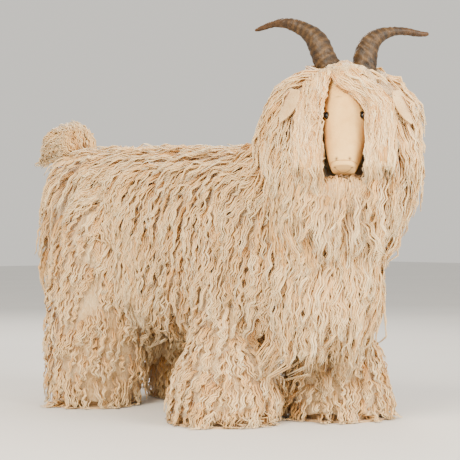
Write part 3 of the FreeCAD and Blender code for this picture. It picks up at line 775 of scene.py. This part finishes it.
# ---------------------------------------------------------------------------------------
# Face: one piece of soft suede-finished hide glued and stitched over the head block, with a
# separate nose pad sewn to its lower edge. Rims stand up round the eyes.

down_face = ahead * math.sin(face_slope) + down * math.cos(face_slope)
out_of_face = ahead * math.cos(face_slope) - down * math.sin(face_slope)
skull_top = head_spot(0, 25.5, 711.7)
# Suede is a dry matt peach-cream with soft clouds and no gleam. Its dark attribute mixes in dark
# brown as painted shade in its creases, round the eyes, in the nostrils and along the mouth.
face_hide = tanned("suede face hide", "#F7CD86", "#E6B46C", 1.4, 0.75, nap=0.06)
shadow = node(face_hide, "Attribute", settings={"attribute_name": "dark"}).outputs["Fac"]
hide_shader = face_hide.node_tree.nodes["Principled BSDF"]
hide_tone = hide_shader.inputs["Base Color"].links[0].from_socket
# Painted shade: where the dark attribute is 1, the hide turns this dark brown.
painted_shade_mix = node(face_hide, "Mix", {"A": hide_tone, "Factor": shadow}, {"data_type": "RGBA"},
                B=linear("#4A3020"))
feed(face_hide, "Base Color", painted_shade_mix.outputs[colour_out])


def face_places(spots):
    """Each spot in millimetres: to the goat's left, down the face, and out of it."""
    local = (spots - np.array(skull_top[:])) * 1000
    return [local @ np.array(v[:]) for v in (goat_left, down_face, out_of_face)]


def bell(distance, width):
    """1 in the middle, falling to nothing past this width."""
    return np.exp(-(distance / width) ** 2)


def moulded(made, moves, dark):
    """Moves the hide along its normals by moves, in millimetres, and keeps dark, the painted shade
    in its dents, as an attribute.
    """
    spots = coords(made.data)
    spots += normals(made.data) * (moves / 1000)[:, None]
    made.data.vertices.foreach_set("co", spots.ravel())
    painted_shade_layer = made.data.attributes.new("dark", "FLOAT", "POINT")
    painted_shade_layer.data.foreach_set("value", np.clip(dark, 0, 1).astype(np.float32))
    made.data.update()


eye_aside, eye_along = 36.25, 98        # places on the face, in millimetres
crease_aside, crease_along = -13, 62
nostrils_along = 203
face = remeshed(piece("face_hide", welded(["face_leather"]), face_hide), 0.0017, 2)
spots = coords(face.data)
aside, along_face, out = face_places(spots)
front = (normals(face.data) @ np.array(out_of_face[:]) > 0.2).astype(float)
moves = 0.35 * lumps(spots, 0.03, 8) + 0.15 * lumps(spots, 0.009, 9)
# Painted shade: the hide is darkened in the hollow round each eye, in the crease above the eyes
# and in the nostrils.
painted_shade = np.zeros(len(spots))
for eye_side in (-eye_aside, eye_aside):
    ring = np.hypot((aside - eye_side) / 6.2, (along_face - eye_along) / 9.6)
    moves += front * (0.6 * bell(ring - 1.05, 0.2) - 1.0 * bell(ring, 0.85))
    painted_shade += 0.25 * front * bell(ring - 0.8, 0.1)
off_crease = aside - crease_aside
crease = bell(along_face - crease_along - off_crease ** 2 / 60, 1.5) * bell(off_crease, 7)
moves -= 1.0 * crease * front
painted_shade += 0.55 * crease * front
# The bridge of the nose stands up a little between the eyes and the nostrils.
moves += 0.8 * bell(aside, 11) * front * np.clip((along_face - 110) / 60, 0, 1)
nostril = sum(bell(np.hypot((aside - s) / 2.8, (along_face - nostrils_along) / 3.2), 1)
              for s in (-14, 13))
moves -= 1.8 * nostril * front
painted_shade += nostril * front
moulded(face, moves, painted_shade)
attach(face, "body")
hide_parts("face_leather")

nose = remeshed(piece("nose_hide", welded(["nose_pad"]), face_hide), 0.0012, 3)
spots = coords(nose.data)
aside, along_face, out = face_places(spots)
facing_down = normals(nose.data) @ np.array(down_face[:]) > 0.5
nose_front, mouth_half, mouth_top, mouth_drop = 53.5, 17, 13, 22
below = nose_front - out
smile = mouth_top + mouth_drop * (1 - (aside / mouth_half) ** 2)
lips = bell(below - smile, 1.6) * facing_down * (np.abs(aside) < mouth_half + 1)
corners = sum(bell(np.hypot((aside - s) / 2.2, (below - mouth_top) / 2.6), 1)
              for s in (-mouth_half, mouth_half))
moves = 0.3 * lumps(spots, 0.02, 8) - 1.4 * lips - 1.0 * corners * facing_down
# Painted shade darkens the line of the mouth and its corners.
moulded(nose, moves, 0.6 * lips + 0.9 * corners * facing_down)
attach(nose, "body")
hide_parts("nose_pad")

# ---------------------------------------------------------------------------------------
# Eyes: pressed black glass beads on wire shanks, polished, and pushed through the hide into
# the head block. The glass is nearly black, with a small sharp gleam.

glass = new_material("black glass", Roughness=0.05, IOR=1.5, Specular_IOR_Level=0.35)
place = node(glass, "TexCoord").outputs["Object"]
smoke = node(glass, "TexNoise", {"Vector": place}, Scale=1000 / 2.5, Detail=2.0)
smoked = node(glass, "ValToRGB", {"Fac": smoke.outputs["Fac"]},
              stops=[(0.3, "#060505"), (0.7, "#15100D")])
feed(glass, "Base Color", smoked.outputs["Color"])
coat(["right_eye", "left_eye"], glass)

# ---------------------------------------------------------------------------------------
# Horns: real goat horns, sawn off square and slid over wooden plugs. Growth rings stand up
# along them, with fine lengthwise cracks, and the tips are polished and browner.

# Horn is a dull grey-brown with paler rings, going to a smoother red-brown at the tips.
horn = new_material("goat horn", Roughness=0.5, IOR=1.54, Specular_IOR_Level=0.3)
place = node(horn, "TexCoord").outputs["Object"]
ring_height = node(horn, "Attribute", settings={"attribute_name": "ring"}).outputs["Fac"]
tip_share = node(horn, "Attribute", settings={"attribute_name": "tip"}).outputs["Fac"]
cloud = node(horn, "TexNoise", {"Vector": place}, Scale=1000 / 18.2, Detail=6.0,
             Roughness=0.65)
crack = node(horn, "TexNoise", {"Vector": place}, Scale=1000 / 2.38, Detail=5.0,
             Roughness=0.7)
blotch = node(horn, "Mix", {"A": cloud.outputs["Fac"], "B": ring_height}, {"data_type": "FLOAT"},
              Factor=0.14)
base_tone = node(horn, "ValToRGB", {"Fac": blotch.outputs["Result"]}, stops=[
    (0.3, "#1E150B"), (0.52, "#453119"), (0.72, "#6A5030")])
tip_tone = node(horn, "ValToRGB", {"Fac": cloud.outputs["Fac"]},
                stops=[(0.3, "#2F1E0F"), (0.7, "#593C20")])
horn_tone = node(horn, "Mix", {"A": base_tone.outputs["Color"], "B": tip_tone.outputs["Color"],
                               "Factor": tip_share}, {"data_type": "RGBA"})
feed(horn, "Base Color", horn_tone.outputs[colour_out])
feed(horn, "Normal", node(horn, "Bump", {"Height": crack.outputs["Fac"]}, Strength=0.5,
                          Distance=0.0008).outputs["Normal"])

ring_count = 17
for side, sign, tip in (("right", -1, (194, -28, 831)), ("left", 1, (168, -28, 818))):
    name = side + "_horn"
    made = remeshed(piece(name + "_shell", welded([name]), horn), 0.0019, 2)
    spots = coords(made.data)
    base = np.array(head_spot(sign * 36, 30, 712)[:])
    far_end = np.array(head_spot(sign * tip[0], tip[1], tip[2])[:])
    reach = np.linalg.norm(far_end - base)
    # Distance along the curve, from how much nearer the spot is to the tip than to the base.
    run = (np.linalg.norm(spots - base, axis=1) - np.linalg.norm(spots - far_end, axis=1)
           + reach) / (2 * reach)
    uneven = 0.6 * lumps(spots, 0.05, 61)
    rings = np.sin(run * 2 * math.pi * ring_count + 2.5 * uneven) * 0.5 + 0.5
    rings = rings ** 1.6
    strength = np.clip(1.1 - run, 0.08, 1) * (0.7 + 0.5 * lumps(spots, 0.04, 63))
    moves = (rings - 0.5) * 1.3 * strength + 0.5 * lumps(spots, 0.012, 62)
    spots += normals(made.data) * (moves / 1000)[:, None]
    made.data.vertices.foreach_set("co", spots.ravel())
    for label, values in (("ring", rings), ("tip", np.clip((run - 0.55) * 2.6, 0, 1))):
        made.data.attributes.new(label, "FLOAT", "POINT").data.foreach_set(
            "value", values.astype(np.float32))
    made.data.update()
    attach(made, "body")
    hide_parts(name)

# ---------------------------------------------------------------------------------------
# Ears: a leaf of cream tanned hide sewn in at the seam of the hood, hanging and a little
# cupped, with a few locks of wool over its root.

# The ears' hide is a dry cream leather, browner than the wool, with pores 1.6 mm apart.
ear_hide = tanned("cream tanned ear hide", "#E9C894", "#C79E66", 1.6, 0.7)
for side, ear_root, hang, outward, width in ear_sweeps:
    body, name = "ear_" + side, side + "_ear"
    ear = remeshed(piece(name + "_leaf", welded([name]), ear_hide), 0.0013, 3)
    spots = coords(ear.data)
    aside = (spots - np.array(ear_root[:])) @ np.array(width[:])
    low = (spots - np.array(ear_root[:])) @ np.array(hang[:])
    cup = -0.0045 * (aside / 0.023) ** 2 * np.clip(low / 0.03, 0, 1)
    cup = np.maximum(cup + 0.0015 * lumps(spots, 0.05, 71), -0.003)
    spots += np.array(outward[:]) * cup[:, None]
    ear.data.vertices.foreach_set("co", spots.ravel())
    ear.data.update()
    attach(ear, body)
    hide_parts(name)
    bm = bmesh.new()
    bm.from_mesh(ear.data)
    tree, patches = skin_of(bm)
    bm.free()
    locks = locks_on("ear", patches, 20, 0.038, 72, (0.004, 0.009), tree,
                     lambda p, n: n.dot(outward) > 0.5 and (p - ear_root).dot(hang) < 0.03)
    wool_piece("wool_" + name, locks, 0.0017, wavy, 73, strands=5, spread=0.004, body=body)

# ---------------------------------------------------------------------------------------
# Tail: a strip of pelt folded round a wad of stuffing and sewn to the rump. It stands up
# from its root and flops over to the back, with locks of its own all round.

tail_form = remeshed(piece("tail_underwool", welded(["tail_pelt", "tail_wad"]), underwool),
                     0.005, 3)
outer_skin(tail_form)
sunk(tail_form, 0.008, 0.002, 0.03, 6)
bm = bmesh.new()
bm.from_mesh(tail_form.data)
tail_tree, tail_patches = skin_of(bm)
bm.free()
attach(tail_form, "tail")
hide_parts("tail_pelt")
tail_root_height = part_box("tail_pelt")[0].z + 0.02
locks = locks_on("tail_pelt", tail_patches, 230, 0.068, 81, (0.003, 0.012), tail_tree,
                 lambda p, n: p.z > tail_root_height)
wool_piece("wool_tail", locks, 0.0018, curly, 82, spread=0.005, body="tail")

# ---------------------------------------------------------------------------------------
# Studio: a plain pale matt floor, three large soft lamps, and a camera level with the
# figure's chest, ahead of it and to its right.

floor_mat = new_material("pale studio floor", Roughness=0.9)
grit = node(floor_mat, "TexNoise", Scale=40.0, Detail=2.0)
gritty = node(floor_mat, "ValToRGB", {"Fac": grit.outputs["Fac"]},
              stops=[(0.3, "#DAD9D7"), (0.7, "#DEDDDB")])
feed(floor_mat, "Base Color", gritty.outputs["Color"])
bm = bmesh.new()
bmesh.ops.create_grid(bm, x_segments=1, y_segments=1, size=12)
floor = piece("floor", bm, floor_mat)

world = bpy.data.worlds.new("studio")
bpy.context.scene.world = world
world.use_nodes = True
sky = world.node_tree.nodes["Background"].inputs
sky["Color"].default_value = linear("#E4E0D8")
sky["Strength"].default_value = 1.15


def lamp(name, spot, size, power, tint):
    """A square soft lamp aimed at the middle of the figure."""
    light = bpy.data.lights.new(name, "AREA")
    light.shape = "SQUARE"
    light.size = size
    light.energy = power
    light.color = linear(tint)[:3]
    made = bpy.data.objects.new(name, light)
    bpy.context.scene.collection.objects.link(made)
    made.location = spot
    made.rotation_euler = (figure_middle - Vector(spot)).to_track_quat("-Z", "Y").to_euler()


figure_middle = Vector((0, 0, 0.4))
lamp("key", (-2.6, -1.6, 2.6), 1.6, 230, "#FFF1DC")
lamp("fill", (0.6, -3.2, 1.6), 2.2, 185, "#FFF5E6")
lamp("back", (1.5, 2.4, 2.4), 1.8, 75, "#FFF7EC")

camera = bpy.data.cameras.new("camera")
camera.lens = 117.4
camera.sensor_width = 36
camera_stand = bpy.data.objects.new("camera", camera)
bpy.context.scene.collection.objects.link(camera_stand)
camera_stand.location = (-2.171, -2.6958, 0.41)
camera_stand.rotation_euler = (math.radians(90), 0, math.radians(-40))
bpy.context.scene.camera = camera_stand
